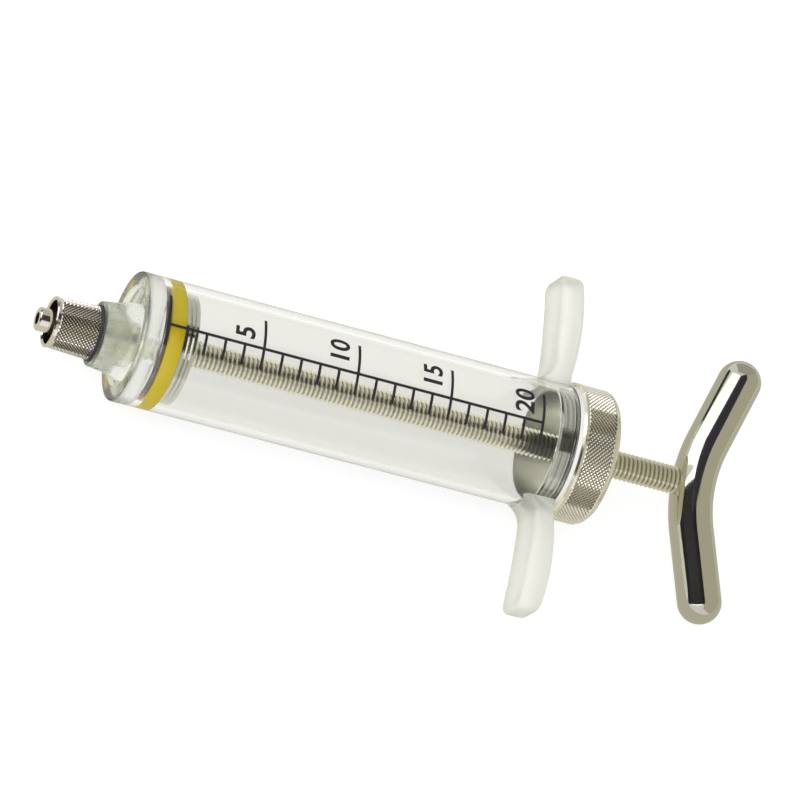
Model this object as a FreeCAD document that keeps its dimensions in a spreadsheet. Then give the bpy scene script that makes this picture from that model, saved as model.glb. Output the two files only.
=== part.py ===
import FreeCAD, Part
import Sketcher
import math
import os

# Reusable 20 ml luer lock syringe with its plunger fully in, in millimetres.
# Each piece is drawn with +X towards the handle. Along the syringe, x = 0 is the front face of
# the barrel. The finished syringe is then rolled towards the nozzle's side until that finger wing
# touches the surface that the cap lies on. Its origin is below the middle of its box, on there.

# Driving dimensions: name, value, what it is
SIZES = [
    ("bore_dia", 19.5, "barrel bore, which the seal runs in"),
    ("barrel_wall", 1.25, "wall of the clear barrel"),
    ("capacity_ml", 20, "volume from the first mark to the last"),
    ("front_wall", 3.2, "closed front end of the barrel"),
    ("front_round", 0.3, "rounding of the barrel's front edge"),
    ("recess_depth", 1.0, "ring recess in the front face"),
    ("recess_rim", 2.4, "rim left outside the recess"),
    ("thread_length", 3.33, "tapped stretch at the rear of the barrel"),
    ("thread_step", 0.45, "how much wider than the bore the tapped stretch is"),
    ("neck_length", 5.35, "neck in front of the barrel's front face"),
    ("neck_straight", 2.9, "stretch of the neck before it flares"),
    ("neck_front_dia", 11.0, "neck at its mouth"),
    ("neck_flare_dia", 11.7, "neck where its flare starts"),
    ("neck_base_dia", 13.2, "neck where it meets the barrel"),
    ("neck_mouth_round", 0.3, "rounding of the neck's mouth"),
    ("nozzle_offset", 0.95, "neck's axis beside the barrel's axis"),
    ("passage_dia", 3.2, "passage from the neck's thread to the bore"),
    ("wing_reach", 29.7, "wing tip from the barrel's axis"),
    ("wing_breadth", 8.4, "wing across the finger"),
    ("wing_thickness", 4.0, "wing along the syringe"),
    ("wing_bow", 1.1, "how far the wing's rear face is bowed to the rear"),
    ("wing_lean", 0.9, "how far the wing's front face leans forward at its tip"),
    ("wing_root_round", 4.0, "hollow at the front of the wing's root"),
    ("wing_corner", 2.0, "rounding of the wing's corners"),
    ("wing_edge", 0.9, "rounding of the wing's edges"),
    ("gasket_dia", 9.6, "front gasket"),
    ("gasket_thickness", 1.0, "front gasket"),
    ("gasket_edge", 0.2, "outer edges of the gasket and the seal"),
    ("gasket_seat", 0.6, "depth of the gasket's seat in the neck"),
    ("seat_fit", 0.1, "gasket in its seat and round the shank"),
    ("shank_dia", 6.0, "threaded shank of the fitting"),
    ("shank_reach", 5.75, "shank behind the gasket"),
    ("shank_end_room", 0.3, "room behind the shank's end"),
    ("collar_length", 7.45, "lock collar"),
    ("collar_front_dia", 8.6, "lock collar at its mouth"),
    ("collar_rear_dia", 9.2, "lock collar at the gasket"),
    ("collar_inside_dia", 7.4, "inside of the lock collar"),
    ("collar_depth", 6.0, "depth of the lock collar's inside"),
    ("collar_lead", 0.25, "chamfer inside the collar's mouth"),
    ("rim_edge", 0.15, "chamfer outside the collar's mouth"),
    ("rim_width", 0.45, "plain rim in front of the collar's groove"),
    ("groove_width", 0.35, "groove behind the rim"),
    ("groove_depth", 0.25, "groove behind the rim"),
    ("cone_tip_dia", 3.95, "luer cone at its tip"),
    ("cone_tip_edge", 0.2, "chamfer at the cone's tip"),
    ("cone_taper", 0.06, "growth of the cone's diameter along it"),
    ("cone_ahead", 2.1, "cone in front of the collar"),
    ("luer_bore_dia", 2.1, "bore through the fitting"),
    ("end_room", 0.1, "piston's front face to the barrel's front end"),
    ("front_plate", 1.0, "thickness of the plate in front of the seal"),
    ("front_plate_room", 0.25, "front plate to the bore"),
    ("seal_width", 2.65, "piston seal"),
    ("seal_fit", 0.05, "seal to the bore and to the rod"),
    ("rear_plate", 2.45, "thickness of the plate behind the seal"),
    ("rear_plate_room", 0.45, "rear plate to the bore"),
    ("plate_edge", 0.25, "outer edges of both plates, ends of the rod"),
    ("stop_room", 0.15, "seal to the cap's spigot at full stroke"),
    ("washer_thickness", 0.6, "ring between barrel and cap"),
    ("washer_fit", 0.15, "washer round the spigot"),
    ("cap_length", 7.2, "knurled cap"),
    ("cap_dia", 23.4, "knurled cap"),
    ("cap_round", 1.4, "rear edge of the cap"),
    ("cap_edge", 0.35, "front edge of the cap"),
    ("cap_web", 2.5, "end wall of the cap"),
    ("spigot_room", 0.15, "rear plate to the inside of the spigot"),
    ("thread_fit", 0.05, "threaded pieces to their tapped holes"),
    ("rod_dia", 4.8, "threaded plunger rod"),
    ("rod_fit", 0.1, "rod to the cap's hole"),
    ("rod_shown", 14.65, "rod between the cap and the handle"),
    ("rod_seat", 5.6, "rod inside the handle"),
    ("seat_room", 0.1, "room behind the rod's end"),
    ("handle_dia", 7.6, "round bar of the handle"),
    ("handle_reach", 19.3, "centre of the bar's domed end from the syringe's axis"),
    ("bend_radius", 25.0, "bend in the middle of the bar"),
    ("bend_angle", 18.0, "how far each arm is swept to the rear, in degrees"),
    ("handle_turn", 8.0, "handle turned against the wings, in degrees"),
]

doc = FreeCAD.newDocument("LuerLockSyringe")
sheet = doc.addObject("Spreadsheet::Sheet", "Sizes")
for row, (name, size, note) in enumerate(SIZES, start=1):
    sheet.set("A%d" % row, name)
    sheet.set("B%d" % row, str(size))
    sheet.set("C%d" % row, note)
    sheet.setAlias("B%d" % row, name)
doc.recompute()

# Places along the syringe, from the barrel's front face, and sizes that several pieces share.
# In each text, {bore_dia} stands for the sheet's cell of that name.
BARREL_R = "({bore_dia} / 2 + {barrel_wall})"
STROKE = "({capacity_ml} * 4000 / (pi * {bore_dia}^2))"
PISTON = "({front_wall} + {end_room})"
SEAL = f"({PISTON} + {{front_plate}})"
REAR_PLATE = f"({SEAL} + {{seal_width}})"
SPIGOT = f"({REAR_PLATE} + {STROKE} + {{stop_room}})"
THREAD_R = "({bore_dia} / 2 + {thread_step})"
TAPPED = f"({SPIGOT} - {{end_room}})"
BARREL_END = f"({TAPPED} + {{thread_length}})"
CAP = f"({BARREL_END} + {{washer_thickness}})"
CAP_END = f"({CAP} + {{cap_length}})"
SPIGOT_R = f"({THREAD_R} - {{thread_fit}})"
SPIGOT_IN_R = "({bore_dia} / 2 - {rear_plate_room} + {spigot_room})"
HANDLE = f"({CAP_END} + {{rod_shown}} + {{handle_dia}} / 2)"
GASKET = "(-{neck_length} + {gasket_seat} - {gasket_thickness})"
FITTING = f"({GASKET} - {{collar_length}} - {{cone_ahead}})"
ROD_R = "({rod_dia} / 2)"
ROD_THREAD_R = f"({ROD_R} + {{thread_fit}})"
ROD_LENGTH = f"({HANDLE} - {{handle_dia}} / 2 + {{rod_seat}} - {PISTON})"

# The end of the handle's bent centre line, along the syringe from the line's middle
BEND = "({bend_angle} * 1deg)"
SWEPT = (f"({{bend_radius}} * (1 - cos{BEND})"
         f" + ({{handle_reach}} - {{bend_radius}} * sin{BEND}) * tan{BEND})")


def words(text):
    """An expression on the sheet: {bore_dia} becomes Sizes.bore_dia."""
    return text.replace("{", "Sizes.").replace("}", "")


def value(text):
    """The number that an expression gives now."""
    return float(sheet.evalExpression(words(text)))


def new_body(name):
    body = doc.addObject("PartDesign::Body", name)
    body.Label = name
    return body


def origin_part(body, role):
    return next(item for item in body.Origin.OriginFeatures if item.Role == role)


def new_sketch(body, name, role="XY_Plane", shift=("0", "0")):
    """A sketch on one of the body's own planes, its zero point moved by shift."""
    sketch = body.newObject("Sketcher::SketchObject", name)
    sketch.AttachmentSupport = (origin_part(body, role), [""])
    sketch.MapMode = "FlatFace"
    for axis, text in zip("xy", shift):
        if text != "0":
            sketch.setExpression(f".AttachmentOffset.Base.{axis}", words(text))
    return sketch


def constrain(sketch, *parts, text=None):
    """Adds a constraint, its size bound to the expression in text where there is one."""
    if text is None:
        return sketch.addConstraint(Sketcher.Constraint(*parts))
    index = sketch.addConstraint(Sketcher.Constraint(*parts, value(text)))
    sketch.setExpression(f"Constraints[{index}]", words(text))
    return index


def pin_point(sketch, geometry, point, x_text, y_text):
    """Ties one point of a sketch to two expressions."""
    for kind, axis, text in (("DistanceX", -2, x_text), ("DistanceY", -1, y_text)):
        if text == "0":
            constrain(sketch, "PointOnObject", geometry, point, axis)
        else:
            constrain(sketch, kind, -1, 1, geometry, point, text=text)


def draw_outline(sketch, corners):
    """A closed outline. A corner is (x, y), or (x, y, bulge x, bulge y) where the side that
    leaves it is an arc through the bulge point."""
    spots = [FreeCAD.Vector(value(corner[0]), value(corner[1]), 0) for corner in corners]
    sides = []
    for i, corner in enumerate(corners):
        here, there = spots[i], spots[(i + 1) % len(spots)]
        if len(corner) == 2:
            sides.append((sketch.addGeometry(Part.LineSegment(here, there)), 1, 2))
            continue
        through = FreeCAD.Vector(value(corner[2]), value(corner[3]), 0)
        arc = sketch.addGeometry(Part.Arc(here, through, there))
        turned = sketch.getPoint(arc, 1).distanceToPoint(here) > 1e-6
        sides.append((arc, 2 if turned else 1, 1 if turned else 2))
        dot = sketch.addGeometry(Part.Point(through), True)
        pin_point(sketch, dot, 1, corner[2], corner[3])
        constrain(sketch, "PointOnObject", dot, 1, arc)
    for i, (side, start, end) in enumerate(sides):
        after = sides[(i + 1) % len(sides)]
        constrain(sketch, "Coincident", side, end, after[0], after[1])
        pin_point(sketch, side, start, corners[i][0], corners[i][1])


def turn(body, name, corners, cut=False, shift=("0", "0")):
    """A turned form: an outline of (along, radius) spun about the sketch's own X axis."""
    sketch = new_sketch(body, name + "_outline", "XY_Plane", shift)
    draw_outline(sketch, corners)
    kind = "PartDesign::Groove" if cut else "PartDesign::Revolution"
    feature = body.newObject(kind, name)
    feature.Profile = sketch
    feature.ReferenceAxis = (sketch, ["H_Axis"])
    feature.Angle = 360.0
    doc.recompute()
    return feature


def find_edges(feature, wanted):
    """Names of the edges that pass the test, which gets an edge and its middle point."""
    names = []
    for i, edge in enumerate(feature.Shape.Edges, start=1):
        middle = edge.valueAt((edge.FirstParameter + edge.LastParameter) / 2)
        if wanted(edge, middle):
            names.append(f"Edge{i}")
    return names


def ring_edges(feature, along, radius):
    """Names of the round edges at one place along the syringe."""
    def wanted(edge, middle):
        if edge.Curve.TypeId != "Part::GeomCircle":
            return False
        return abs(middle.x - along) < 1e-4 and abs(edge.Curve.Radius - radius) < 1e-4
    return find_edges(feature, wanted)


def fillet(body, name, base, edges, size):
    """Rounds the named edges of the feature before it."""
    feature = body.newObject("PartDesign::Fillet", name)
    feature.Base = (base, edges)
    feature.setExpression("Radius", words(size))
    doc.recompute()
    return feature


def runs_along(edge):
    """Whether an edge is a straight line along the syringe."""
    straight = edge.Curve.TypeId == "Part::GeomLine"
    return straight and abs(edge.tangentAt(edge.FirstParameter).x) > 0.99


def make_wings(body):
    """One wing, hollow at its root and rounded all round, and its twin across the barrel."""
    foot = "({bore_dia} / 2 - {barrel_wall})"
    root = f"sqrt({BARREL_R}^2 - ({{wing_breadth}} / 2)^2)"
    shoulder = f"({root} + {{wing_root_round}})"
    tip = "{wing_reach}"
    tip_front = f"({BARREL_END} - {{wing_thickness}})"
    front = f"({tip_front} + {{wing_lean}})"
    hollow = f"({front} - {{wing_root_round}})"
    rise = f"({tip} - {shoulder})"
    front_r = f"(({{wing_lean}}^2 + {rise}^2) / (2 * {{wing_lean}}))"
    half_sweep = f"(asin({rise} / {front_r}) / 2)"
    sketch = new_sketch(body, "wing_outline")
    draw_outline(sketch, [
        (hollow, foot),
        (hollow, root, f"({hollow} + {{wing_root_round}} * sqrt(0.5))",
         f"({root} + {{wing_root_round}} * (1 - sqrt(0.5)))"),
        (front, shoulder, f"({front} - {front_r} * (1 - cos{half_sweep}))",
         f"({shoulder} + {front_r} * sin{half_sweep})"),
        (tip_front, tip),
        (BARREL_END, tip, f"({BARREL_END} + {{wing_bow}})", f"(({BARREL_R} + {tip}) / 2)"),
        (BARREL_END, BARREL_R),
        (BARREL_END, foot),
    ])
    wing = body.newObject("PartDesign::Pad", "wing")
    wing.Profile = sketch
    wing.Midplane = True
    wing.setExpression("Length", words("{wing_breadth}"))
    doc.recompute()

    reach = value(tip)
    corners = find_edges(wing, lambda edge, middle: runs_along(edge)
                         and abs(middle.y - reach) < 1e-4)
    rounded = fillet(body, "wing_corners", wing, corners, "{wing_corner}")
    low = value(root) + 1e-3
    rims = find_edges(rounded, lambda edge, middle: middle.y > low and not runs_along(edge)
                      and not (abs(middle.z) < 1e-4 and middle.y < reach - 1e-3))
    soft = fillet(body, "wing_edges", rounded, rims, "{wing_edge}")
    pair = body.newObject("PartDesign::PolarPattern", "wing_pair")
    pair.TransformMode = "Whole shape"
    pair.Originals = [soft]
    pair.Axis = (origin_part(body, "X_Axis"), [""])
    pair.Angle = 360.0
    pair.Occurrences = 2
    body.Tip = pair
    doc.recompute()


def make_barrel():
    """Clear moulding: two wings, tube with a tapped rear end, recessed front face and a neck
    beside the middle, tapped for the fitting."""
    body = new_body("barrel")
    make_wings(body)
    tube = turn(body, "tube", [
        ("0", "0"),
        ("0", BARREL_R),
        (BARREL_END, BARREL_R),
        (BARREL_END, "0"),
    ])
    fillet(body, "front_edge", tube, ring_edges(tube, 0, value(BARREL_R)), "{front_round}")
    recess_r = f"({BARREL_R} - {{recess_rim}})"
    turn(body, "recess", [
        ("0", "0"),
        ("0", recess_r),
        ("{recess_depth}", recess_r),
        ("{recess_depth}", "0"),
    ], cut=True)

    at_mouth = ("-{neck_length}", "-{nozzle_offset}")
    neck_end = "({neck_length} + {recess_depth})"
    neck = turn(body, "neck", [
        ("0", "0"),
        ("0", "({neck_front_dia} / 2)"),
        ("{neck_straight}", "({neck_flare_dia} / 2)"),
        ("{neck_length}", "({neck_base_dia} / 2)"),
        (neck_end, "({neck_base_dia} / 2)"),
        (neck_end, "0"),
    ], shift=at_mouth)
    mouth = ring_edges(neck, -value("{neck_length}"), value("{neck_front_dia} / 2"))
    fillet(body, "neck_mouth", neck, mouth, "{neck_mouth_round}")
    seat_r = "({gasket_dia} / 2 + {seat_fit})"
    tapped_r = "({shank_dia} / 2 + {thread_fit})"
    tapped_end = "({gasket_seat} + {shank_reach} + {shank_end_room})"
    passage_end = "({neck_length} + {front_wall} + {end_room})"
    turn(body, "neck_hole", [
        ("0", "0"),
        ("0", seat_r),
        ("{gasket_seat}", seat_r),
        ("{gasket_seat}", tapped_r),
        (tapped_end, tapped_r),
        (tapped_end, "({passage_dia} / 2)"),
        (passage_end, "({passage_dia} / 2)"),
        (passage_end, "0"),
    ], cut=True, shift=at_mouth)
    turn(body, "bore", [
        ("{front_wall}", "0"),
        ("{front_wall}", "({bore_dia} / 2)"),
        (TAPPED, "({bore_dia} / 2)"),
        (TAPPED, THREAD_R),
        (BARREL_END, THREAD_R),
        (BARREL_END, "0"),
    ], cut=True)
    return body


def make_fitting():
    """One turned piece: luer cone inside a lock collar, and the shank that screws in the neck."""
    body = new_body("luer_fitting")
    floor = "({cone_ahead} + {collar_depth})"
    collar_end = "({cone_ahead} + {collar_length})"
    shank_end = f"({collar_end} + {{gasket_thickness}} + {{shank_reach}})"
    bore_r = "({luer_bore_dia} / 2)"
    tip_r = "({cone_tip_dia} / 2)"
    inside_r = "({collar_inside_dia} / 2)"
    mouth_r = "({collar_front_dia} / 2)"
    groove_r = f"({mouth_r} - {{groove_depth}})"
    groove = "({cone_ahead} + {rim_width})"
    groove_end = f"({groove} + {{groove_width}})"
    turn(body, "turned_blank", [
        ("0", bore_r),
        ("0", f"({tip_r} - {{cone_tip_edge}})"),
        ("{cone_tip_edge}", tip_r),
        (floor, f"({tip_r} + {floor} * {{cone_taper}} / 2)"),
        (floor, inside_r),
        ("({cone_ahead} + {collar_lead})", inside_r),
        ("{cone_ahead}", f"({inside_r} + {{collar_lead}})"),
        ("{cone_ahead}", f"({mouth_r} - {{rim_edge}})"),
        ("({cone_ahead} + {rim_edge})", mouth_r),
        (groove, mouth_r),
        (groove, groove_r),
        (groove_end, groove_r),
        (groove_end, mouth_r),
        (collar_end, "({collar_rear_dia} / 2)"),
        (collar_end, "({shank_dia} / 2)"),
        (shank_end, "({shank_dia} / 2)"),
        (shank_end, bore_r),
    ])
    return body


def make_ring(name, inside, outside, length, edge=None):
    """A turned ring from x = 0, its outer edges broken by the size in edge."""
    body = new_body(name)
    corners = [("0", inside), ("0", outside), (length, outside), (length, inside)]
    if edge:
        corners = [
            ("0", inside),
            ("0", f"({outside} - {edge})"),
            (edge, outside),
            (f"({length} - {edge})", outside),
            (length, f"({outside} - {edge})"),
            (length, inside),
        ]
    turn(body, name + "_ring", corners)
    return body


def make_cap():
    """Cup-shaped cap: tubular spigot, wide grip behind it and end wall with the rod's hole."""
    body = new_body("rear_cap")
    flange = f"({CAP} - {SPIGOT})"
    end = f"({flange} + {{cap_length}})"
    outside = "({cap_dia} / 2)"
    hole = f"({ROD_R} + {{rod_fit}})"
    shell = turn(body, "shell", [
        ("0", SPIGOT_IN_R),
        ("0", SPIGOT_R),
        (flange, SPIGOT_R),
        (flange, f"({outside} - {{cap_edge}})"),
        (f"({flange} + {{cap_edge}})", outside),
        (end, outside),
        (end, hole),
        (f"({end} - {{cap_web}})", hole),
        (f"({end} - {{cap_web}})", SPIGOT_IN_R),
    ])
    fillet(body, "rear_edge", shell, ring_edges(shell, value(end), value(outside)), "{cap_round}")
    return body


def make_rod():
    """Plain core of the threaded rod, its ends chamfered."""
    body = new_body("plunger_rod")
    turn(body, "rod", [
        ("0", "0"),
        ("0", f"({ROD_R} - {{plate_edge}})"),
        ("{plate_edge}", ROD_R),
        (f"({ROD_LENGTH} - {{plate_edge}})", ROD_R),
        (ROD_LENGTH, f"({ROD_R} - {{plate_edge}})"),
        (ROD_LENGTH, "0"),
    ])
    return body


def make_handle():
    """Round bar, bent in its middle and domed at its ends, with the rod's hole in the bend."""
    body = new_body("t_handle")
    bar_r = "({handle_dia} / 2)"
    radius = value("{bend_radius}")
    angle = math.radians(value("{bend_angle}"))
    meet = FreeCAD.Vector(radius * (1 - math.cos(angle)), radius * math.sin(angle), 0)
    half_way = FreeCAD.Vector(radius * (1 - math.cos(angle / 2)), radius * math.sin(angle / 2), 0)
    end = FreeCAD.Vector(value(SWEPT), value("{handle_reach}"), 0)

    line = new_sketch(body, "bar_line")
    bend = line.addGeometry(Part.Arc(FreeCAD.Vector(0, 0, 0), half_way, meet))
    arm = line.addGeometry(Part.LineSegment(meet, end))
    low, high = (1, 2) if line.getPoint(bend, 1).Length < 1e-6 else (2, 1)
    constrain(line, "Coincident", bend, low, -1, 1)
    constrain(line, "PointOnObject", bend, 3, -1)
    constrain(line, "Tangent", bend, high, arm, 1)
    constrain(line, "Radius", bend, text="{bend_radius}")
    pin_point(line, arm, 2, SWEPT, "{handle_reach}")
    section = new_sketch(body, "bar_section", "XZ_Plane")
    ring = section.addGeometry(Part.Circle(
        FreeCAD.Vector(0, 0, 0), FreeCAD.Vector(0, 0, 1), value(bar_r)))
    constrain(section, "Coincident", ring, 3, -1, 1)
    constrain(section, "Radius", ring, text=bar_r)
    bar = body.newObject("PartDesign::AdditivePipe", "arm")
    bar.Profile = section
    bar.Spine = (line, [])
    doc.recompute()

    dome = body.newObject("PartDesign::AdditiveSphere", "dome")
    dome.AttachmentSupport = (origin_part(body, "XY_Plane"), [""])
    dome.MapMode = "FlatFace"
    dome.setExpression("Radius", words(bar_r))
    dome.setExpression(".AttachmentOffset.Base.x", words(SWEPT))
    dome.setExpression(".AttachmentOffset.Base.y", words("{handle_reach}"))
    doc.recompute()
    both = body.newObject("PartDesign::Mirrored", "both_arms")
    both.TransformMode = "Whole shape"
    both.Originals = [dome]
    both.MirrorPlane = (origin_part(body, "XZ_Plane"), [""])
    body.Tip = both
    doc.recompute()
    hole_end = "({handle_dia} / 2 + {rod_seat} + {seat_room})"
    turn(body, "rod_hole", [
        ("0", "0"),
        ("0", ROD_THREAD_R),
        (hole_end, ROD_THREAD_R),
        (hole_end, "0"),
    ], cut=True, shift=("-{handle_dia}", "0"))
    return body


# Each piece with its place along the syringe and beside its axis
pieces = [
    (make_barrel(), "0", "0"),
    (make_ring("front_gasket", "({shank_dia} / 2 + {seat_fit})", "({gasket_dia} / 2)",
               "{gasket_thickness}", "{gasket_edge}"), GASKET, "-{nozzle_offset}"),
    (make_fitting(), FITTING, "-{nozzle_offset}"),
    (make_ring("piston_front_plate", ROD_THREAD_R, "({bore_dia} / 2 - {front_plate_room})",
               "{front_plate}", "{plate_edge}"), PISTON, "0"),
    (make_ring("piston_seal", f"({ROD_R} + {{seal_fit}})", "({bore_dia} / 2 - {seal_fit})",
               "{seal_width}", "{gasket_edge}"), SEAL, "0"),
    (make_ring("piston_rear_plate", ROD_THREAD_R, "({bore_dia} / 2 - {rear_plate_room})",
               "{rear_plate}", "{plate_edge}"), REAR_PLATE, "0"),
    (make_rod(), PISTON, "0"),
    (make_ring("rear_washer", f"({SPIGOT_R} + {{washer_fit}})", BARREL_R,
               "{washer_thickness}"), BARREL_END, "0"),
    (make_cap(), SPIGOT, "0"),
    (make_handle(), HANDLE, "0"),
]

# The roll at which the wing's rounded corner is as low as the cap
axis_height = value("{cap_dia} / 2")
corner_r = value("{wing_corner}")
corner_out = value("{wing_reach}") - corner_r
corner_side = value("{wing_breadth} / 2") - corner_r
roll = math.degrees(math.asin((axis_height - corner_r) / math.hypot(corner_out, corner_side))
                    - math.atan2(corner_side, corner_out))
rear_most = value(f"{HANDLE} + {SWEPT} + {{handle_dia}} / 2")
middle = (value(FITTING) + rear_most) / 2
along_axis = FreeCAD.Vector(1, 0, 0)
lying = FreeCAD.Placement(FreeCAD.Vector(-middle, 0, axis_height),
                          FreeCAD.Rotation(along_axis, roll))
for body, along, beside in pieces:
    own_turn = value("{handle_turn}") if body.Label == "t_handle" else 0
    own_place = FreeCAD.Placement(FreeCAD.Vector(value(along), value(beside), 0),
                                  FreeCAD.Rotation(along_axis, own_turn))
    body.Placement = lying.multiply(own_place)
doc.recompute()

for item in doc.Objects:
    if "Invalid" in item.State or "Error" in item.State:
        raise SystemExit(f"failed: {item.Name}")
os.makedirs("parts", exist_ok=True)
for body, along, beside in pieces:
    if body.Shape.isNull() or not body.Shape.isValid() or len(body.Shape.Solids) != 1:
        raise SystemExit(f"bad shape: {body.Label}")
    body.Shape.exportStep(f"parts/{body.Label}.step")
    box = body.Shape.BoundBox
    print(f"{body.Label:20} {body.Shape.Volume:8.1f} mm3  x {box.XMin:.2f} {box.XMax:.2f}"
          f"  y {box.YMin:.2f} {box.YMax:.2f}  z {box.ZMin:.2f} {box.ZMax:.2f}")
print(f"roll {roll:.3f}, middle {middle:.3f}, barrel end {value(BARREL_END):.3f}")
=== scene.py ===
import math

import bmesh
import bpy
from mathutils import Matrix, Vector


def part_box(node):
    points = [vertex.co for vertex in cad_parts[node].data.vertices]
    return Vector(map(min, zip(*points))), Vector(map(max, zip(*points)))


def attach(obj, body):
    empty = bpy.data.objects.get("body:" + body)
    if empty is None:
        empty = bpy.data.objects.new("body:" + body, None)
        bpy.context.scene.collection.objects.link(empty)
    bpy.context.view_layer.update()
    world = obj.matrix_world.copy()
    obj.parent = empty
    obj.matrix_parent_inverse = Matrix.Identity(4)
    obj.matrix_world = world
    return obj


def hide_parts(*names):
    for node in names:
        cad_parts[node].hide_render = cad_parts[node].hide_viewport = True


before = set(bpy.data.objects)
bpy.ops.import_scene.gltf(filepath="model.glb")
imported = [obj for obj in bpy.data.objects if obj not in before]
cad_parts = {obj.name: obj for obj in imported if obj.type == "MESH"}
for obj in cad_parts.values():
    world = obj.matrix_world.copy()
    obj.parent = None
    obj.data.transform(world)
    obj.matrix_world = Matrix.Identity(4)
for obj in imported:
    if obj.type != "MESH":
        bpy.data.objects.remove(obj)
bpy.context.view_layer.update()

# Metres, in the model's own frame: +X from the luer cone to the handle, +Z up from the surface
# that the syringe lies on. Lengths below are in millimetres, times MM.
MM = 0.001

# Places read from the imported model
SEAL_LOW, SEAL_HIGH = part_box("piston_seal")
CAP_LOW, CAP_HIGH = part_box("rear_cap")
WASHER_LOW, WASHER_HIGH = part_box("rear_washer")
FITTING_LOW, FITTING_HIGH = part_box("luer_fitting")
GASKET_LOW, GASKET_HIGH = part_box("front_gasket")
ROD_LOW, ROD_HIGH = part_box("plunger_rod")
REAR_PLATE_LOW, REAR_PLATE_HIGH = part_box("piston_rear_plate")
_, HANDLE_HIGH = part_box("t_handle")
AXIS_Y = (SEAL_LOW.y + SEAL_HIGH.y) / 2
AXIS_Z = (SEAL_LOW.z + SEAL_HIGH.z) / 2
NOZZLE_Y = (GASKET_LOW.y + GASKET_HIGH.y) / 2
NOZZLE_Z = (GASKET_LOW.z + GASKET_HIGH.z) / 2
BARREL_R = (WASHER_HIGH.z - WASHER_LOW.z) / 2
BARREL_END = WASHER_LOW.x

# Driving sizes that the model's boxes don't give
BORE_R = 9.75 * MM
ROD_HOLE_R = 2.45 * MM
MARK_GAP = 3.3485 * MM      # one millilitre along the bore
FRONT_FACE = BARREL_END - 77.299 * MM
ZERO_MARK = FRONT_FACE + 3.61 * MM
WING_ROLL = math.radians(15.89)
HANDLE_ROLL = WING_ROLL + math.radians(8.0)

HEIGHT = "height"           # vertex attribute: 0 at a groove's bottom, 1 at its top; the metals paint shade where it is small


# Shared by all pieces

def link_new(name, data):
    """A new object in the scene, holding a mesh, text, lamp or camera."""
    made = bpy.data.objects.new(name, data)
    bpy.context.scene.collection.objects.link(made)
    return made


def new_piece(name, mesh, body, slot, *materials):
    """Puts a finished mesh in the scene, riding on a body. Its faces choose their material by
    its number."""
    piece = link_new(name, mesh)
    for material in materials:
        mesh.materials.append(material)
    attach(piece, body)
    return piece


def everything(bm):
    return list(bm.verts) + list(bm.edges) + list(bm.faces)


def join_doubles(bm, gap=1e-7):
    bmesh.ops.remove_doubles(bm, verts=bm.verts, dist=gap)


def fill_holes(bm):
    bmesh.ops.holes_fill(bm, edges=[edge for edge in bm.edges if edge.is_boundary])


def move_to(bm, y, z):
    """Moves all of it from the X axis to the line that runs along X at y and z."""
    bmesh.ops.translate(bm, verts=bm.verts, vec=(0, y, z))


def to_mesh(bm, name, crease=30.0):
    """Closes a bmesh into a mesh, smooth apart from edges sharper than crease, in degrees."""
    join_doubles(bm)
    bmesh.ops.recalc_face_normals(bm, faces=bm.faces)
    for face in bm.faces:
        face.smooth = True
    mesh = bpy.data.meshes.new(name)
    bm.to_mesh(mesh)
    bm.free()
    mesh.set_sharp_from_angle(angle=math.radians(crease))
    return mesh


def from_node(node):
    """A CAD node's mesh, its loose triangles joined."""
    bm = bmesh.new()
    bm.from_mesh(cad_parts[node].data)
    join_doubles(bm)
    return bm


def draw_profile(points, closed):
    """A line of (along, radius) points beside the X axis."""
    bm = bmesh.new()
    verts = [bm.verts.new((x, 0.0, r)) for x, r in points]
    if closed:
        verts.append(verts[0])
    for pair in zip(verts, verts[1:]):
        bm.edges.new(pair)
    return bm


def lathe(points, steps):
    """The body that a closed line of (along, radius) points makes, spun round the X axis."""
    bm = draw_profile(points, True)
    bmesh.ops.spin(bm, geom=everything(bm), cent=(0, 0, 0), axis=(1, 0, 0), angle=2 * math.pi,
                   steps=steps, use_merge=True, use_duplicate=False)
    join_doubles(bm)
    return bm


def radius_of(vert):
    """How far a vertex is from the X axis."""
    return math.hypot(vert.co.y, vert.co.z)


def mark_height(bm, low, high):
    """Stores on each vertex how far it stands out from the X axis, 0 at low and 1 at high; the
    metals paint shade where it is small. It comes before any list of vertices, because a new
    layer makes older ones useless."""
    layer = bm.verts.layers.float.new(HEIGHT)
    for vert in bm.verts:
        vert[layer] = min(1.0, max(0.0, (radius_of(vert) - low) / (high - low)))


def even_cuts(start, end, count):
    """Evenly spaced values from start to end."""
    return [start + (end - start) * i / count for i in range(count + 1)]


def cut_knurl(bm, outside, first, last, rows, columns, depth):
    """Knurls a fine grid of quads that lies further than outside from the X axis: every second
    vertex sinks, like the dark fields of a chessboard, and grooves join the sunk ones. A sunk
    vertex's height becomes 0, so the metal paints shade there."""
    height = bm.verts.layers.float[HEIGHT]
    sunk = []
    for vert in bm.verts:
        radius = radius_of(vert)
        if radius <= outside or not first - 1e-7 <= vert.co.x <= last + 1e-7:
            continue
        row = round((vert.co.x - first) / (last - first) * rows)
        column = round(math.atan2(vert.co.y, vert.co.z) / (2 * math.pi) * columns)
        if (row + column) % 2:
            scale = 1 - depth / radius
            vert.co.y *= scale
            vert.co.z *= scale
            vert[height] = 0.0
            sunk.append(vert)
    bmesh.ops.connect_verts(bm, verts=sunk)


# Materials

def new_material(name):
    material = bpy.data.materials.new(name)
    material.use_nodes = True
    nodes = material.node_tree.nodes
    return material, nodes, material.node_tree.links, nodes["Principled BSDF"]


def own_place(nodes):
    """The piece's own coordinates."""
    return nodes.new("ShaderNodeTexCoord").outputs["Object"]


def noise_on(nodes, links, scale):
    """A noise texture on the piece's own coordinates."""
    noise = nodes.new("ShaderNodeTexNoise")
    noise.inputs["Scale"].default_value = scale
    noise.inputs["Detail"].default_value = 2.0
    links.new(own_place(nodes), noise.inputs["Vector"])
    return noise.outputs["Fac"]


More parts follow.
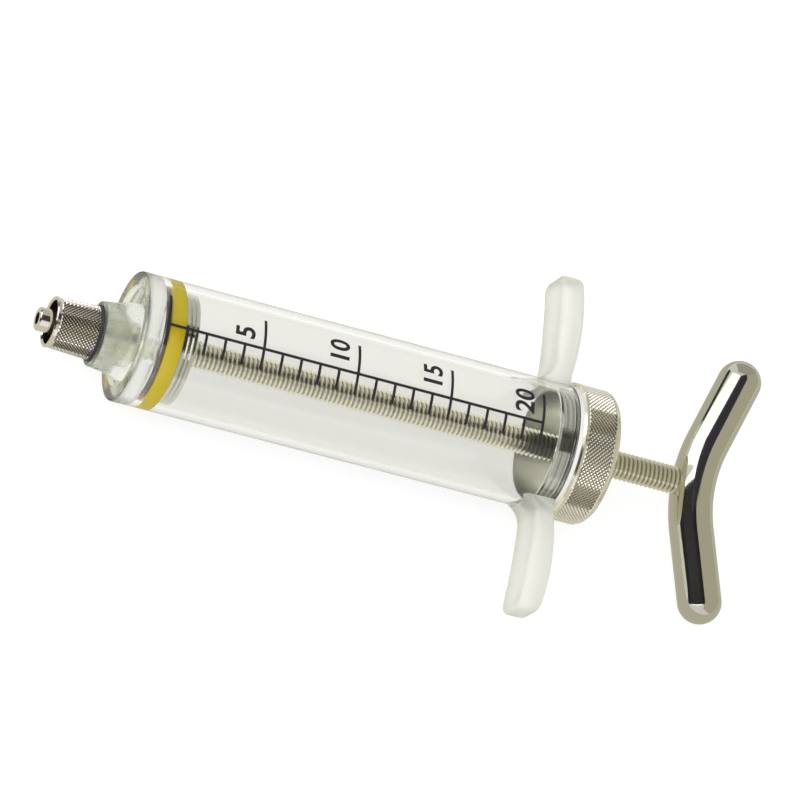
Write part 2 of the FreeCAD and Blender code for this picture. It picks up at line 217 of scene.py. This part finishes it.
def spread(nodes, links, source, low, high, start=0.0, end=1.0):
    """Maps a value between start and end onto low to high."""
    span = nodes.new("ShaderNodeMapRange")
    span.inputs["From Min"].default_value = start
    span.inputs["From Max"].default_value = end
    span.inputs["To Min"].default_value = low
    span.inputs["To Max"].default_value = high
    links.new(source, span.inputs["Value"])
    return span.outputs["Result"]


def blend(nodes, links, share, first, second):
    """Mixes two colours: the first where share is 0, the second where it is 1."""
    mix = nodes.new("ShaderNodeMix")
    mix.data_type = "RGBA"
    mix.inputs["A"].default_value = (*first, 1)
    mix.inputs["B"].default_value = (*second, 1)
    links.new(share, mix.inputs["Factor"])
    return mix.outputs["Result"]


def bump_on(nodes, links, shader, height, strength, distance):
    bump = nodes.new("ShaderNodeBump")
    bump.inputs["Strength"].default_value = strength
    bump.inputs["Distance"].default_value = distance
    links.new(height, bump.inputs["Height"])
    links.new(bump.outputs["Normal"], shader.inputs["Normal"])


def clear_plastic():
    """Polished clear moulding, cloudy and greener at its front end."""
    material, nodes, links, shader = new_material("clear_plastic")
    shader.inputs["Transmission Weight"].default_value = 1.0
    shader.inputs["IOR"].default_value = 1.49
    apart = nodes.new("ShaderNodeSeparateXYZ")
    links.new(own_place(nodes), apart.inputs[0])
    cloudy = spread(nodes, links, apart.outputs["X"], 1.0, 0.0,
                    FRONT_FACE + 0.3 * MM, FRONT_FACE + 3.4 * MM)
    links.new(spread(nodes, links, cloudy, 0.02, 0.32), shader.inputs["Roughness"])
    tint = blend(nodes, links, cloudy, (0.925, 0.92, 0.89), (0.82, 0.83, 0.755))
    links.new(tint, shader.inputs["Base Color"])
    bump_on(nodes, links, shader, noise_on(nodes, links, 90.0), 0.09, 0.0002)
    return material


def milky_plastic(name, colour, through, rough, scale, bump):
    """The same plastic where it is thick or frosted: milky, with light going through."""
    material, nodes, links, shader = new_material(name)
    shader.inputs["Base Color"].default_value = (*colour, 1)
    shader.inputs["Transmission Weight"].default_value = through
    shader.inputs["IOR"].default_value = 1.4
    noise = noise_on(nodes, links, scale)
    links.new(spread(nodes, links, noise, *rough), shader.inputs["Roughness"])
    bump_on(nodes, links, shader, noise, bump, 0.0002)
    return material


def metal(name, colour, rough, scale, bump=0.0, groove=None):
    """Plated metal, its roughness uneven between two values. With groove, a share of the colour,
    it is darker where the piece's stored height is small: painted shade in knurl valleys and
    thread roots."""
    material, nodes, links, shader = new_material(name)
    shader.inputs["Base Color"].default_value = (*colour, 1)
    shader.inputs["Metallic"].default_value = 1.0
    noise = noise_on(nodes, links, scale)
    links.new(spread(nodes, links, noise, *rough), shader.inputs["Roughness"])
    if bump:
        bump_on(nodes, links, shader, noise, bump, 0.0001)
    # painted shade: the colour darkens towards the bottom of knurl valleys and thread roots
    if groove:
        height = nodes.new("ShaderNodeAttribute")
        height.attribute_name = HEIGHT
        share = spread(nodes, links, height.outputs["Fac"], 0.0, 1.0, 0.0, 0.5)
        dark = [part * groove for part in colour]
        links.new(blend(nodes, links, share, dark, colour), shader.inputs["Base Color"])
    return material


def rubber(name, colour, rough):
    """Rubber, ink or dull plastic, a little uneven in tone and finish."""
    material, nodes, links, shader = new_material(name)
    noise = noise_on(nodes, links, 700.0)
    dark = [part * 0.94 for part in colour]
    links.new(blend(nodes, links, noise, dark, colour), shader.inputs["Base Color"])
    links.new(spread(nodes, links, noise, *rough), shader.inputs["Roughness"])
    return material


CLEAR = clear_plastic()
WING = milky_plastic("wing_plastic", (0.94, 0.935, 0.875), 0.72, (0.4, 0.55), 260.0, 0.2)
NECK = milky_plastic("neck_plastic", (0.88, 0.9, 0.81), 0.88, (0.12, 0.4), 300.0, 0.7)
# groove: how dark the painted shade in knurl valleys and thread roots is, as a share of the
# colour
NICKEL = metal("knurled_nickel", (0.98, 0.93, 0.86), (0.06, 0.16), 400.0, groove=0.2)
CAP_NICKEL = metal("cap_nickel", (0.97, 0.94, 0.82), (0.1, 0.22), 400.0, groove=0.5)
SPIGOT = metal("spigot_nickel", (0.93, 0.93, 0.87), (0.15, 0.3), 300.0)
TURNED = metal("turned_nickel", (0.62, 0.62, 0.58), (0.08, 0.16), 300.0)
DARK = metal("dark_nickel", (0.2, 0.185, 0.2), (0.15, 0.25), 300.0)
STEEL = metal("rod_steel", (0.9, 0.88, 0.76), (0.12, 0.22), 500.0, groove=0.5)
CHROME = metal("polished_chrome", (0.68, 0.67, 0.58), (0.05, 0.09), 120.0, bump=0.03)
BLACK = rubber("black_rubber", (0.02, 0.018, 0.025), (0.35, 0.5))
YELLOW = rubber("yellow_rubber", (1.0, 0.78, 0.004), (0.35, 0.5))
WHITE = rubber("white_ring", (0.86, 0.86, 0.84), (0.4, 0.55))
INK = rubber("black_ink", (0.012, 0.012, 0.014), (0.5, 0.6))


# Barrel

def out_from_barrel_axis(face):
    """How far a face's middle is from the barrel's axis."""
    centre = face.calc_center_median()
    return math.hypot(centre.y - AXIS_Y, centre.z - AXIS_Z)


def make_barrel():
    """Tube with its front end and the neck beside its middle, all from one spun outline. The
    neck and the recess round it are frosted."""
    front, outer = FRONT_FACE, BARREL_R
    mouth = front - 5.35 * MM
    seat = mouth + 0.6 * MM
    recess = front + 1.0 * MM
    hole_end = front + 1.3 * MM
    bore_front = front + 3.2 * MM
    tapped = BARREL_END - 3.33 * MM
    passage_r, hole_r, seat_r = 1.6 * MM, 3.05 * MM, 4.9 * MM
    neck_r, recess_r = 6.6 * MM, outer - 2.4 * MM
    tapped_r = BORE_R + 0.45 * MM
    lead, soft, hair = 0.3 * MM, 0.09 * MM, 0.05 * MM
    neck = [
        (bore_front, passage_r), (hole_end, passage_r), (hole_end, hole_r),
        (seat, hole_r), (seat, seat_r), (mouth, seat_r),
        (mouth, 5.2 * MM), (mouth + soft, 5.41 * MM), (mouth + lead, 5.51 * MM),
        (mouth + 2.9 * MM, 5.85 * MM), (front, neck_r), (recess, neck_r),
    ]
    tube = [
        (recess, recess_r), (front, recess_r), (front, outer - lead),
        (front + soft, outer - soft), (front + lead, outer),
        (front + 3 * lead, outer), (BARREL_END - lead, outer), (BARREL_END, outer),
        (BARREL_END, tapped_r), (tapped, tapped_r), (tapped, BORE_R),
        (tapped - lead, BORE_R), (bore_front + lead, BORE_R), (bore_front, BORE_R),
    ]
    bm = lathe(neck + tube, 160)
    beside = [vert for vert in bm.verts if radius_of(vert) < neck_r + 0.1 * MM]
    move_to(bm, AXIS_Y, AXIS_Z)
    bmesh.ops.translate(bm, verts=beside, vec=(0, NOZZLE_Y - AXIS_Y, NOZZLE_Z - AXIS_Z))
    for face in bm.faces:
        if (seat + hair < face.calc_center_median().x < recess + hair
                and out_from_barrel_axis(face) < outer - lead):
            face.material_index = 1
    barrel = new_piece("barrel_moulding", to_mesh(bm, "barrel_moulding"), "barrel",
                       "clear_plastic", CLEAR, NECK)
    wings = new_piece("finger_wings", cut_wings(), "barrel", "clear_plastic", WING)
    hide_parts("barrel")
    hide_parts("barrel")


def cut_wings():
    """The wings as the model has them, cut off where they meet the tube and closed there."""
    bm = from_node("barrel")
    hair = 0.01 * MM
    tube = [face for face in bm.faces
            if out_from_barrel_axis(face) < BARREL_R + hair
            or min(math.hypot(vert.co.y - AXIS_Y, vert.co.z - AXIS_Z) for vert in face.verts)
            < BARREL_R - hair]
    bmesh.ops.delete(bm, geom=tube, context="FACES")
    fill_holes(bm)
    return to_mesh(bm, "finger_wings")


# Scale on the barrel

MILLILITRES = 20
LONG_EVERY = 5                  # millilitres from one long mark to the next
CURVE_CUTS = 12                 # parts that a drawing is cut into where it bends
LINE = 0.48 * MM                # width of the printed lines
INK_DEPTH = 0.03 * MM
BASELINE = math.radians(90.0)   # halfway from the +Y wing to the other, over the top
MARK_DOWN = 3.55 * MM           # from the baseline, for every mark
LONG_UP = 5.5 * MM              # from the baseline, for the long marks
DIGIT_HEIGHT = 3.3 * MM
DIGIT_SHARE = 0.7               # a digit's height, as a share of its text's size
DIGIT_BOLD = 0.02               # what its outline grows by, as a share of its text's size
DIGIT_UP, DIGIT_GAP = 1.0 * MM, 1.9 * MM    # from the baseline and from its mark


def wrap_up(bm, along):
    """Bends a flat drawing onto the barrel at its baseline: its x goes round the barrel, up
    from the baseline, and its y goes to the front."""
    for vert in bm.verts:
        radius = BARREL_R + vert.co.z
        angle = BASELINE - vert.co.x / BARREL_R + WING_ROLL
        vert.co = (along - vert.co.y, AXIS_Y + radius * math.cos(angle),
                   AXIS_Z + radius * math.sin(angle))


def cut_across(bm, low, high):
    """Cuts a flat drawing along x, so that it can follow the barrel."""
    for x in even_cuts(low, high, CURVE_CUTS)[1:-1]:
        bmesh.ops.bisect_plane(bm, geom=everything(bm), plane_co=(x, 0, 0), plane_no=(1, 0, 0))


def flat_strip(low, high):
    """A flat printed strip from corner low to corner high."""
    corners = ((low[0], low[1]), (high[0], low[1]), (high[0], high[1]), (low[0], high[1]))
    bm = bmesh.new()
    bm.faces.new([bm.verts.new((x, y, INK_DEPTH)) for x, y in corners])
    return bm


def join(whole, bm):
    """Moves what a bmesh holds into another one."""
    part = bpy.data.meshes.new("part")
    bm.to_mesh(part)
    bm.free()
    whole.from_mesh(part)
    bpy.data.meshes.remove(part)


def finish_print(whole, name):
    """Gives printed faces a thin edge, down to just inside the barrel's surface."""
    bmesh.ops.recalc_face_normals(whole, faces=whole.faces)
    bmesh.ops.solidify(whole, geom=list(whole.faces), thickness=1.5 * INK_DEPTH)
    new_piece(name, to_mesh(whole, name), "barrel", "black_rubber", INK)


def make_scale():
    """Baseline, and a mark for each millilitre, every fifth one longer."""
    whole = bmesh.new()
    for i in range(MILLILITRES + 1):
        up = LINE / 2 if i % LONG_EVERY else LONG_UP
        bm = flat_strip((-MARK_DOWN, -LINE / 2), (up, LINE / 2))
        cut_across(bm, -MARK_DOWN, up)
        wrap_up(bm, ZERO_MARK + i * MARK_GAP)
        join(whole, bm)
    bm = flat_strip((-LINE / 2, -MILLILITRES * MARK_GAP), (LINE / 2, 0))
    wrap_up(bm, ZERO_MARK)
    join(whole, bm)
    finish_print(whole, "scale_marks")


def draw_number(number):
    """A flat number in the built-in plain font, its corner at the origin."""
    text = bpy.data.curves.new("number", "FONT")
    text.body = str(number)
    text.size = DIGIT_HEIGHT / DIGIT_SHARE
    text.offset = DIGIT_BOLD * text.size
    text.align_x = "LEFT"
    flat = link_new("number", text)
    drawn = bpy.data.meshes.new_from_object(
        flat.evaluated_get(bpy.context.evaluated_depsgraph_get()))
    bm = bmesh.new()
    bm.from_mesh(drawn)
    bpy.data.objects.remove(flat)
    bpy.data.meshes.remove(drawn)
    return bm


def make_numbers():
    """Plain numbers at every fifth mark, their tops towards the luer end."""
    whole = bmesh.new()
    for number in range(LONG_EVERY, MILLILITRES + 1, LONG_EVERY):
        bm = draw_number(number)
        bmesh.ops.translate(bm, verts=bm.verts, vec=(DIGIT_UP, DIGIT_GAP, INK_DEPTH))
        cut_across(bm, 0.0, max(vert.co.x for vert in bm.verts))
        wrap_up(bm, ZERO_MARK + number * MARK_GAP)
        join(whole, bm)
    finish_print(whole, "scale_numbers")


# Metal pieces

def make_fitting():
    """Knurled lock collar round the luer cone, and the shank that goes into the neck."""
    tip = FITTING_LOW.x
    mouth = tip + 2.1 * MM
    floor = tip + 8.1 * MM
    collar_end = mouth + 7.45 * MM
    first, last = mouth + 0.95 * MM, collar_end - 0.1 * MM
    bore_r, tip_r, shank_r = 1.05 * MM, 1.975 * MM, 3.0 * MM
    inside_r, mouth_r, rear_r = 3.7 * MM, 4.3 * MM, 4.6 * MM
    groove_r = mouth_r - 0.25 * MM
    rows, columns = 20, 84
    knurl = list(zip(even_cuts(first, last, rows), even_cuts(mouth_r, rear_r, rows)))
    points = [
        (tip, bore_r), (tip, tip_r - 0.2 * MM), (tip + 0.2 * MM, tip_r),
        (floor, tip_r + 0.24 * MM), (floor, inside_r),
        (mouth + 0.25 * MM, inside_r), (mouth, inside_r + 0.25 * MM),
        (mouth, mouth_r - 0.15 * MM), (mouth + 0.15 * MM, mouth_r), (mouth + 0.45 * MM, mouth_r),
        (mouth + 0.5 * MM, groove_r), (first - 0.15 * MM, groove_r), *knurl,
        (collar_end, rear_r - 0.2 * MM), (collar_end, shank_r),
        (FITTING_HIGH.x, shank_r), (FITTING_HIGH.x, bore_r),
    ]
    bm = lathe(points, columns)
    mark_height(bm, 0.0, tip_r)
    cut_knurl(bm, mouth_r - 0.1 * MM, first, last, rows, columns, 0.34 * MM)
    move_to(bm, NOZZLE_Y, NOZZLE_Z)
    piece = new_piece("lock_collar_and_cone", to_mesh(bm, "lock_collar"), "fitting",
                      "nickel_fitting", NICKEL)
    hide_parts("luer_fitting")


def make_cap():
    """Rear cap: threaded spigot, plain front band, knurled grip and rounded rear edge. Its
    inside and the spigot's outside are less yellow than the rest."""
    flange, end = WASHER_HIGH.x, CAP_HIGH.x
    first, last = flange + 1.0 * MM, end - 1.5 * MM
    floor = end - 2.5 * MM
    radius = (CAP_HIGH.z - CAP_LOW.z) / 2
    groove_r = radius - 0.2 * MM
    spigot_r, inner_r, hole_r = 10.15 * MM, 9.45 * MM, 2.5 * MM
    root_r = spigot_r - 0.45 * MM
    rows, columns = 14, 180
    tooth = ((-0.4, root_r), (-0.1, spigot_r), (0.1, spigot_r), (0.4, root_r))
    thread = [(crest + part * MM, r)
              for crest in even_cuts(CAP_LOW.x + 0.5 * MM, flange - 0.35 * MM, 3)
              for part, r in tooth]
    knurl = [(at, radius) for at in even_cuts(first, last, rows)]
    points = [
        (CAP_LOW.x, inner_r), (CAP_LOW.x, root_r), *thread[:-1], (flange, spigot_r - 0.3 * MM),
        (flange, radius - 0.35 * MM), (flange + 0.35 * MM, radius),
        (flange + 0.7 * MM, radius), (flange + 0.8 * MM, groove_r), (first - 0.1 * MM, groove_r),
        *knurl, (last + 0.2 * MM, radius - 0.12 * MM),
        (end - 0.75 * MM, radius - 0.35 * MM), (end - 0.3 * MM, radius - 0.8 * MM),
        (end, radius - 1.5 * MM), (end, hole_r + 0.3 * MM), (end - 0.3 * MM, hole_r),
        (floor, hole_r), (floor, inner_r),
    ]
    bm = lathe(points, columns)
    mark_height(bm, 0.0, hole_r)
    cut_knurl(bm, radius - 0.1 * MM, first, last, rows, columns, 0.28 * MM)
    for face in bm.faces:
        centre = face.calc_center_median()
        inside = math.hypot(centre.y, centre.z) < inner_r + 0.01 * MM
        if inside and centre.x < end - 0.2 * MM:
            face.material_index = 2
        elif centre.x < flange:
            face.material_index = 1
    move_to(bm, AXIS_Y, AXIS_Z)
    piece = new_piece("knurled_cap", to_mesh(bm, "knurled_cap"), "cap", "nickel_cap",
                      CAP_NICKEL, TURNED, SPIGOT)
    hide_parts("rear_cap")


def make_rod():
    """Threaded rod: one tooth, wound round the axis for more than the rod's length, then cut."""
    pitch, depth, steps = 0.8 * MM, 0.48 * MM, 20
    radius = (ROD_HIGH.z - ROD_LOW.z) / 2
    root_r = radius - depth
    start, end = ROD_LOW.x, ROD_HIGH.x
    turns = math.ceil((end - start) / pitch) + 2
    tooth = ((0, root_r), (0.12, root_r), (0.45, radius), (0.62, radius), (1.0, root_r))
    bm = draw_profile([(start - pitch + part * pitch, r) for part, r in tooth], False)
    bmesh.ops.spin(bm, geom=everything(bm), cent=(0, 0, 0), axis=(1, 0, 0),
                   angle=2 * math.pi * turns, steps=steps * turns, dvec=(pitch / steps, 0, 0),
                   use_duplicate=False)
    join_doubles(bm, 1e-6)
    for at, way in ((start, -1), (end, 1)):
        bmesh.ops.bisect_plane(bm, geom=everything(bm), plane_co=(at, 0, 0),
                               plane_no=(way, 0, 0), clear_outer=True)
    fill_holes(bm)
    # height 0 in the thread roots, where the steel paints shade
    mark_height(bm, root_r, radius)
    move_to(bm, AXIS_Y, AXIS_Z)
    piece = new_piece("threaded_rod", to_mesh(bm, "threaded_rod", 20.0), "plunger", "rod_metal",
                      STEEL)
    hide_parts("plunger_rod")


def extrude_ring(bm, edges, step, scale, centre):
    """Extrudes a ring of edges by a step, scales the new ring about a centre and gives back its
    edges."""
    made = bmesh.ops.extrude_edge_only(bm, edges=edges)["geom"]
    verts = [item for item in made if isinstance(item, bmesh.types.BMVert)]
    bmesh.ops.translate(bm, verts=verts, vec=step)
    bmesh.ops.scale(bm, verts=verts, vec=(scale, scale, scale), space=Matrix.Translation(-centre))
    return [item for item in made if isinstance(item, bmesh.types.BMEdge)
            and all(vert in verts for vert in item.verts)]


def make_handle():
    """Polished round bar: a circle swept round half the bend, out along one arm and over its
    dome, and then mirrored."""
    bar_r = 3.8 * MM
    bend_r, bend, reach = 25.0 * MM, math.radians(18.0), 19.3 * MM
    way = Vector((math.sin(bend), math.cos(bend), 0))
    straight = (reach - bend_r * math.sin(bend)) / math.cos(bend)
    arm_start = Vector((bend_r * (1 - math.cos(bend)), bend_r * math.sin(bend), 0))
    arm_end = arm_start + way * straight
    bm = bmesh.new()
    bmesh.ops.create_circle(bm, cap_ends=False, segments=64, radius=bar_r)
    bmesh.ops.rotate(bm, verts=bm.verts, cent=(0, 0, 0),
                     matrix=Matrix.Rotation(math.pi / 2, 3, "X"))
    swept = bmesh.ops.spin(bm, geom=everything(bm), cent=(bend_r, 0, 0), axis=(0, 0, 1),
                           angle=-bend, steps=16, use_duplicate=False)["geom_last"]
    ring = [item for item in swept if isinstance(item, bmesh.types.BMEdge)]
    ring = extrude_ring(bm, ring, way * straight, 1.0, arm_end)
    dome = even_cuts(0.0, math.pi / 2, 12)
    for before, now in zip(dome, dome[1:]):
        step = way * bar_r * (math.sin(now) - math.sin(before))
        scale = max(math.cos(now), 1e-4) / math.cos(before)
        ring = extrude_ring(bm, ring, step, scale, arm_end + way * bar_r * math.sin(now))
    bmesh.ops.mirror(bm, geom=everything(bm), matrix=Matrix.Identity(4), merge_dist=1e-6,
                     axis="Y")
    bmesh.ops.rotate(bm, verts=bm.verts, cent=(0, 0, 0),
                     matrix=Matrix.Rotation(HANDLE_ROLL, 3, "X"))
    front = HANDLE_HIGH.x - bar_r - arm_end.x
    bmesh.ops.translate(bm, verts=bm.verts, vec=(front, AXIS_Y, AXIS_Z))
    join_doubles(bm, 1e-6)
    piece = new_piece("bent_handle", to_mesh(bm, "bent_handle", 40.0), "plunger",
                      "polished_handle", CHROME)
    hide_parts("t_handle")


def make_rear_plate():
    """Turned disc with two fine grooves round its rim."""
    low, high = REAR_PLATE_LOW.x, REAR_PLATE_HIGH.x
    outer = (REAR_PLATE_HIGH.z - REAR_PLATE_LOW.z) / 2
    edge, groove = 0.15 * MM, 0.2 * MM
    rim = []
    for share in (0.36, 0.68):
        at = low + (high - low) * share
        rim += [(at - groove, outer), (at, outer - groove), (at + groove, outer)]
    bm = lathe([
        (low, ROD_HOLE_R), (low, outer - edge), (low + edge, outer), *rim,
        (high - edge, outer), (high, outer - edge), (high, ROD_HOLE_R),
    ], 120)
    move_to(bm, AXIS_Y, AXIS_Z)
    piece = new_piece("rear_plate", to_mesh(bm, "rear_plate"), "plunger", "plate_metal", TURNED)
    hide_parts("piston_rear_plate")


# Rings

def make_plain_rings():
    """Gasket, front plate and washer keep their CAD shape, joined and smooth."""
    for node, name, material, body, slot in (
            ("front_gasket", "gasket_ring", BLACK, "gasket", "black_rubber"),
            ("piston_front_plate", "front_plate", DARK, "plunger", "plate_metal"),
            ("rear_washer", "washer_ring", WHITE, "washer", "white_ring")):
        piece = new_piece(name, to_mesh(from_node(node), node + "_smooth"), body, slot, material)
        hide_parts(node)


def make_seal():
    """Rubber ring, squeezed against the bore so that no air shows between them."""
    low, high = SEAL_LOW.x, SEAL_HIGH.x
    outer = BORE_R + 0.02 * MM
    edge, soft = 0.2 * MM, 0.06 * MM
    bm = lathe([
        (low, ROD_HOLE_R), (low, outer - edge), (low + soft, outer - soft),
        (low + edge, outer), (high - edge, outer), (high - soft, outer - soft),
        (high, outer - edge), (high, ROD_HOLE_R),
    ], 160)
    move_to(bm, AXIS_Y, AXIS_Z)
    piece = new_piece("seal_ring", to_mesh(bm, "seal_ring"), "seal", "yellow_rubber", YELLOW)
    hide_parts("piston_seal")


make_barrel()
make_seal()
make_scale()
make_numbers()
make_fitting()
make_cap()
make_rod()
make_handle()
make_plain_rings()
make_rear_plate()


# Camera, as the photograph gives it: the barrel's front face and axis as the camera sees them,
# right, down and ahead, and how far the wings are turned against the picture's upright
FRONT_SEEN = Vector((-44.9675, -10.5202, 901.2279)) * MM
AXIS_SEEN = Vector((0.9150866, 0.2415232, 0.3229289)).normalized()
LENS = 247.5
WING_SEEN = math.radians(14.86)


def place_camera():
    upright = Vector((0, -1, 0))
    upright = (upright - AXIS_SEEN * AXIS_SEEN.dot(upright)).normalized()
    toward = AXIS_SEEN.cross(upright)
    turned = -WING_ROLL - WING_SEEN
    side = upright * math.cos(turned) + toward * math.sin(turned)
    axes = Matrix((AXIS_SEEN, side, AXIS_SEEN.cross(side)))
    camera = bpy.data.cameras.new("camera")
    camera.lens = LENS
    camera.clip_start = 0.05
    placed = link_new("camera", camera)
    placed.location = Vector((FRONT_FACE, AXIS_Y, AXIS_Z)) - axes @ FRONT_SEEN
    placed.rotation_euler = (axes @ Matrix.Diagonal((1, -1, -1))).to_euler()
    bpy.context.scene.camera = placed


# Floor, surroundings and light

MIDDLE = Vector((0.03, 0, 0.01))    # what the lamp and the cards stand round


def bare_tree(owner):
    """The nodes and links of a material or world, emptied."""
    owner.use_nodes = True
    owner.node_tree.nodes.clear()
    return owner.node_tree.nodes, owner.node_tree.links


def choose_by_ray(nodes, links, lit, seen, output):
    """Gives camera, glossy and transmission rays the seen shader, and all others the lit one."""
    path = nodes.new("ShaderNodeLightPath")
    looking = path.outputs["Is Camera Ray"]
    for kind in ("Is Glossy Ray", "Is Transmission Ray"):
        either = nodes.new("ShaderNodeMath")
        either.operation = "MAXIMUM"
        links.new(looking, either.inputs[0])
        links.new(path.outputs[kind], either.inputs[1])
        looking = either.outputs[0]
    choose = nodes.new("ShaderNodeMixShader")
    links.new(looking, choose.inputs[0])
    links.new(lit.outputs[0], choose.inputs[1])
    links.new(seen.outputs[0], choose.inputs[2])
    links.new(choose.outputs[0], nodes.new(output).inputs["Surface"])


def flat_mesh(name, width, depth):
    """A rectangle round the origin."""
    bm = bmesh.new()
    bmesh.ops.create_grid(bm, x_segments=1, y_segments=1, size=0.5)
    bmesh.ops.scale(bm, verts=bm.verts, vec=(width, depth, 1))
    mesh = bpy.data.meshes.new(name)
    bm.to_mesh(mesh)
    bm.free()
    return mesh


def make_floor():
    """White table that keeps a soft shadow."""
    mesh = flat_mesh("floor", 8.0, 8.0)
    material = bpy.data.materials.new("floor_white")
    nodes, links = bare_tree(material)
    plain = nodes.new("ShaderNodeBsdfDiffuse")
    plain.inputs["Color"].default_value = (0.8, 0.8, 0.8, 1)
    shaded = nodes.new("ShaderNodeBsdfDiffuse")
    shaded.inputs["Color"].default_value = (0.27, 0.27, 0.27, 1)
    glow = nodes.new("ShaderNodeEmission")
    glow.inputs["Strength"].default_value = 0.81
    both = nodes.new("ShaderNodeAddShader")
    links.new(shaded.outputs[0], both.inputs[0])
    links.new(glow.outputs[0], both.inputs[1])
    choose_by_ray(nodes, links, plain, both, "ShaderNodeOutputMaterial")
    mesh.materials.append(material)
    link_new("floor", mesh)


def make_world():
    """Soft light from all round, over plain white surroundings."""
    world = bpy.data.worlds.new("studio")
    nodes, links = bare_tree(world)
    soft = nodes.new("ShaderNodeBackground")
    soft.inputs["Color"].default_value = (0.96, 0.98, 1.0, 1)
    soft.inputs["Strength"].default_value = 0.8
    white = nodes.new("ShaderNodeBackground")
    white.inputs["Strength"].default_value = 1.0
    choose_by_ray(nodes, links, soft, white, "ShaderNodeOutputWorld")
    bpy.context.scene.world = world


def aim(thing, across, up, distance):
    """Places a lamp or card round the syringe's middle and turns it there, its width level as
    the camera sees it. The angles, in degrees, are to the right and up from the line to the
    camera."""
    across, up = math.radians(across), math.radians(up)
    way = Vector((math.sin(across) * math.cos(up), math.sin(up),
                  math.cos(across) * math.cos(up)))
    level = Vector((0, 1, 0)).cross(way).normalized()
    facing = Matrix((level, way.cross(level), way)).transposed()
    seen = bpy.context.scene.camera.rotation_euler.to_matrix()
    thing.location = MIDDLE + seen @ way * distance
    thing.rotation_euler = (seen @ facing).to_euler()


def add_lamp(name, angles, distance, size, power, colour):
    lamp = bpy.data.lights.new(name, "AREA")
    lamp.shape = "RECTANGLE"
    lamp.size, lamp.size_y = size
    lamp.energy = power
    lamp.color = colour
    aim(link_new(name, lamp), *angles, distance)


def add_card(name, angles, distance, size, tone, through=False):
    """A card that only reflections see, or, with through, only what the plastic lets through."""
    mesh = flat_mesh(name, *size)
    material = bpy.data.materials.new(name)
    nodes, links = bare_tree(material)
    glow = nodes.new("ShaderNodeEmission")
    glow.inputs["Color"].default_value = (*tone, 1)
    output = nodes.new("ShaderNodeOutputMaterial")
    links.new(glow.outputs[0], output.inputs["Surface"])
    mesh.materials.append(material)
    card = link_new(name, mesh)
    card.visible_camera = False
    card.visible_diffuse = False
    card.visible_glossy = not through
    card.visible_transmission = through
    card.visible_shadow = False
    aim(card, *angles, distance)


place_camera()
make_floor()
make_world()
add_lamp("softbox", (-15, 8), 1.3, (1.4, 1.0), 9.0, (1.0, 0.99, 0.97))
add_card("dark_front", (-21, 6), 0.5, (1.2, 0.34), (0.022, 0.018, 0.025))
add_card("dark_strip", (26, 27), 0.5, (0.36, 0.26), (0.045, 0.04, 0.055))
add_card("dark_left", (-94, 46), 0.5, (0.16, 0.25), (0.05, 0.05, 0.05))
add_card("bright_card", (-45, 46), 0.6, (1.1, 0.24), (1.7, 1.7, 1.7))
add_card("side_card", (80, 0), 0.5, (1.6, 1.2), (0.5, 0.48, 0.38))
add_card("top_card", (90, 62), 0.5, (0.7, 0.6), (0.42, 0.41, 0.35))
# painted shadow: a beige card flat on the floor under the syringe, seen only in reflections,
# stands in for the syringe's shadow there
add_card("floor_shadow_card", (-152.4, -29.7), 0.0095, (0.6, 0.6), (0.57, 0.55, 0.46))
add_card("inside_card", (38, 16), 0.5, (0.22, 0.5), (0.06, 0.06, 0.06), through=True)
bpy.context.scene.view_settings.view_transform = "Standard"
